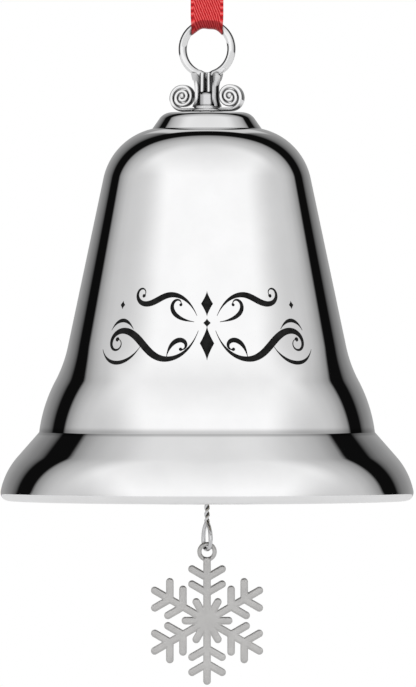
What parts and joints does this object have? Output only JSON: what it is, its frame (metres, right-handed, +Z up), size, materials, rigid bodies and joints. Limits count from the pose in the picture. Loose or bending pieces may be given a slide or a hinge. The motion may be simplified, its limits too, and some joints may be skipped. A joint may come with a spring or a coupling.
{
  "type": "christmas bell ornament",
  "caption": "Hanging silver bell ornament with a ribbon loop, a scroll finial, a clapper and a snowflake charm below the rim.",
  "frame": {"origin": "the point inside the top of the ribbon loop that rests on the hook", "axes": "+Z up, along the bell's axis; -Y is the front, which carries the engraving; +X to the right seen from the front"},
  "size_m": [0.0762, 0.0762, 0.2066],
  "materials": {
    "bell_plate": "polished",
    "finial_cast": "polished",
    "steel_fixing": "bright",
    "steel_wire": "bright",
    "clapper_brass": "polished",
    "charm_satin": "satin",
    "red_satin_ribbon": "satin"
  },
  "bodies": {
    "ribbon": {"ribbon_front_strand": "red_satin_ribbon", "ribbon_back_strand": "red_satin_ribbon", "ribbon_knot": "red_satin_ribbon", "ribbon_tails": "red_satin_ribbon"},
    "ribbon_fold": {"ribbon_bight": "red_satin_ribbon"},
    "bell": {"bell_shell": "bell_plate", "scroll_finial": "finial_cast", "crown_washer": "steel_fixing", "crown_nut": "steel_fixing", "eye_screw": "steel_fixing"},
    "link": {"clapper_link": "steel_wire"},
    "clapper": {"clapper_wire": "steel_wire", "clapper_ball": "clapper_brass", "upper_stop": "steel_fixing", "lower_stop": "steel_fixing"},
    "snowflake": {"snowflake_charm": "charm_satin"}
  },
  "joints": [
    {"name": "bell_nod", "type": "hinge", "parent": "ribbon", "child": "ribbon_fold", "pos_m": [0, 0, -0.0607], "axis": [0.9455, -0.3256, 0], "range_deg": [-30, 30]},
    {"name": "bell_sway", "type": "hinge", "parent": "ribbon_fold", "child": "bell", "pos_m": [0, 0, -0.06545], "axis": [0.3256, 0.9455, 0], "range_deg": [-50, 50]},
    {"name": "link_swing", "type": "hinge", "parent": "bell", "child": "link", "pos_m": [0, 0, -0.08665], "axis": [1, 0, 0], "range_deg": [-8, 8]},
    {"name": "clapper_swing", "type": "hinge", "parent": "link", "child": "clapper", "pos_m": [0, 0, -0.09028], "axis": [0, 1, 0], "range_deg": [-25, 25]},
    {"name": "snowflake_swing", "type": "hinge", "parent": "clapper", "child": "snowflake", "pos_m": [0, 0, -0.15777], "axis": [0, -1, 0], "range_deg": [-35, 35]}
  ]
}
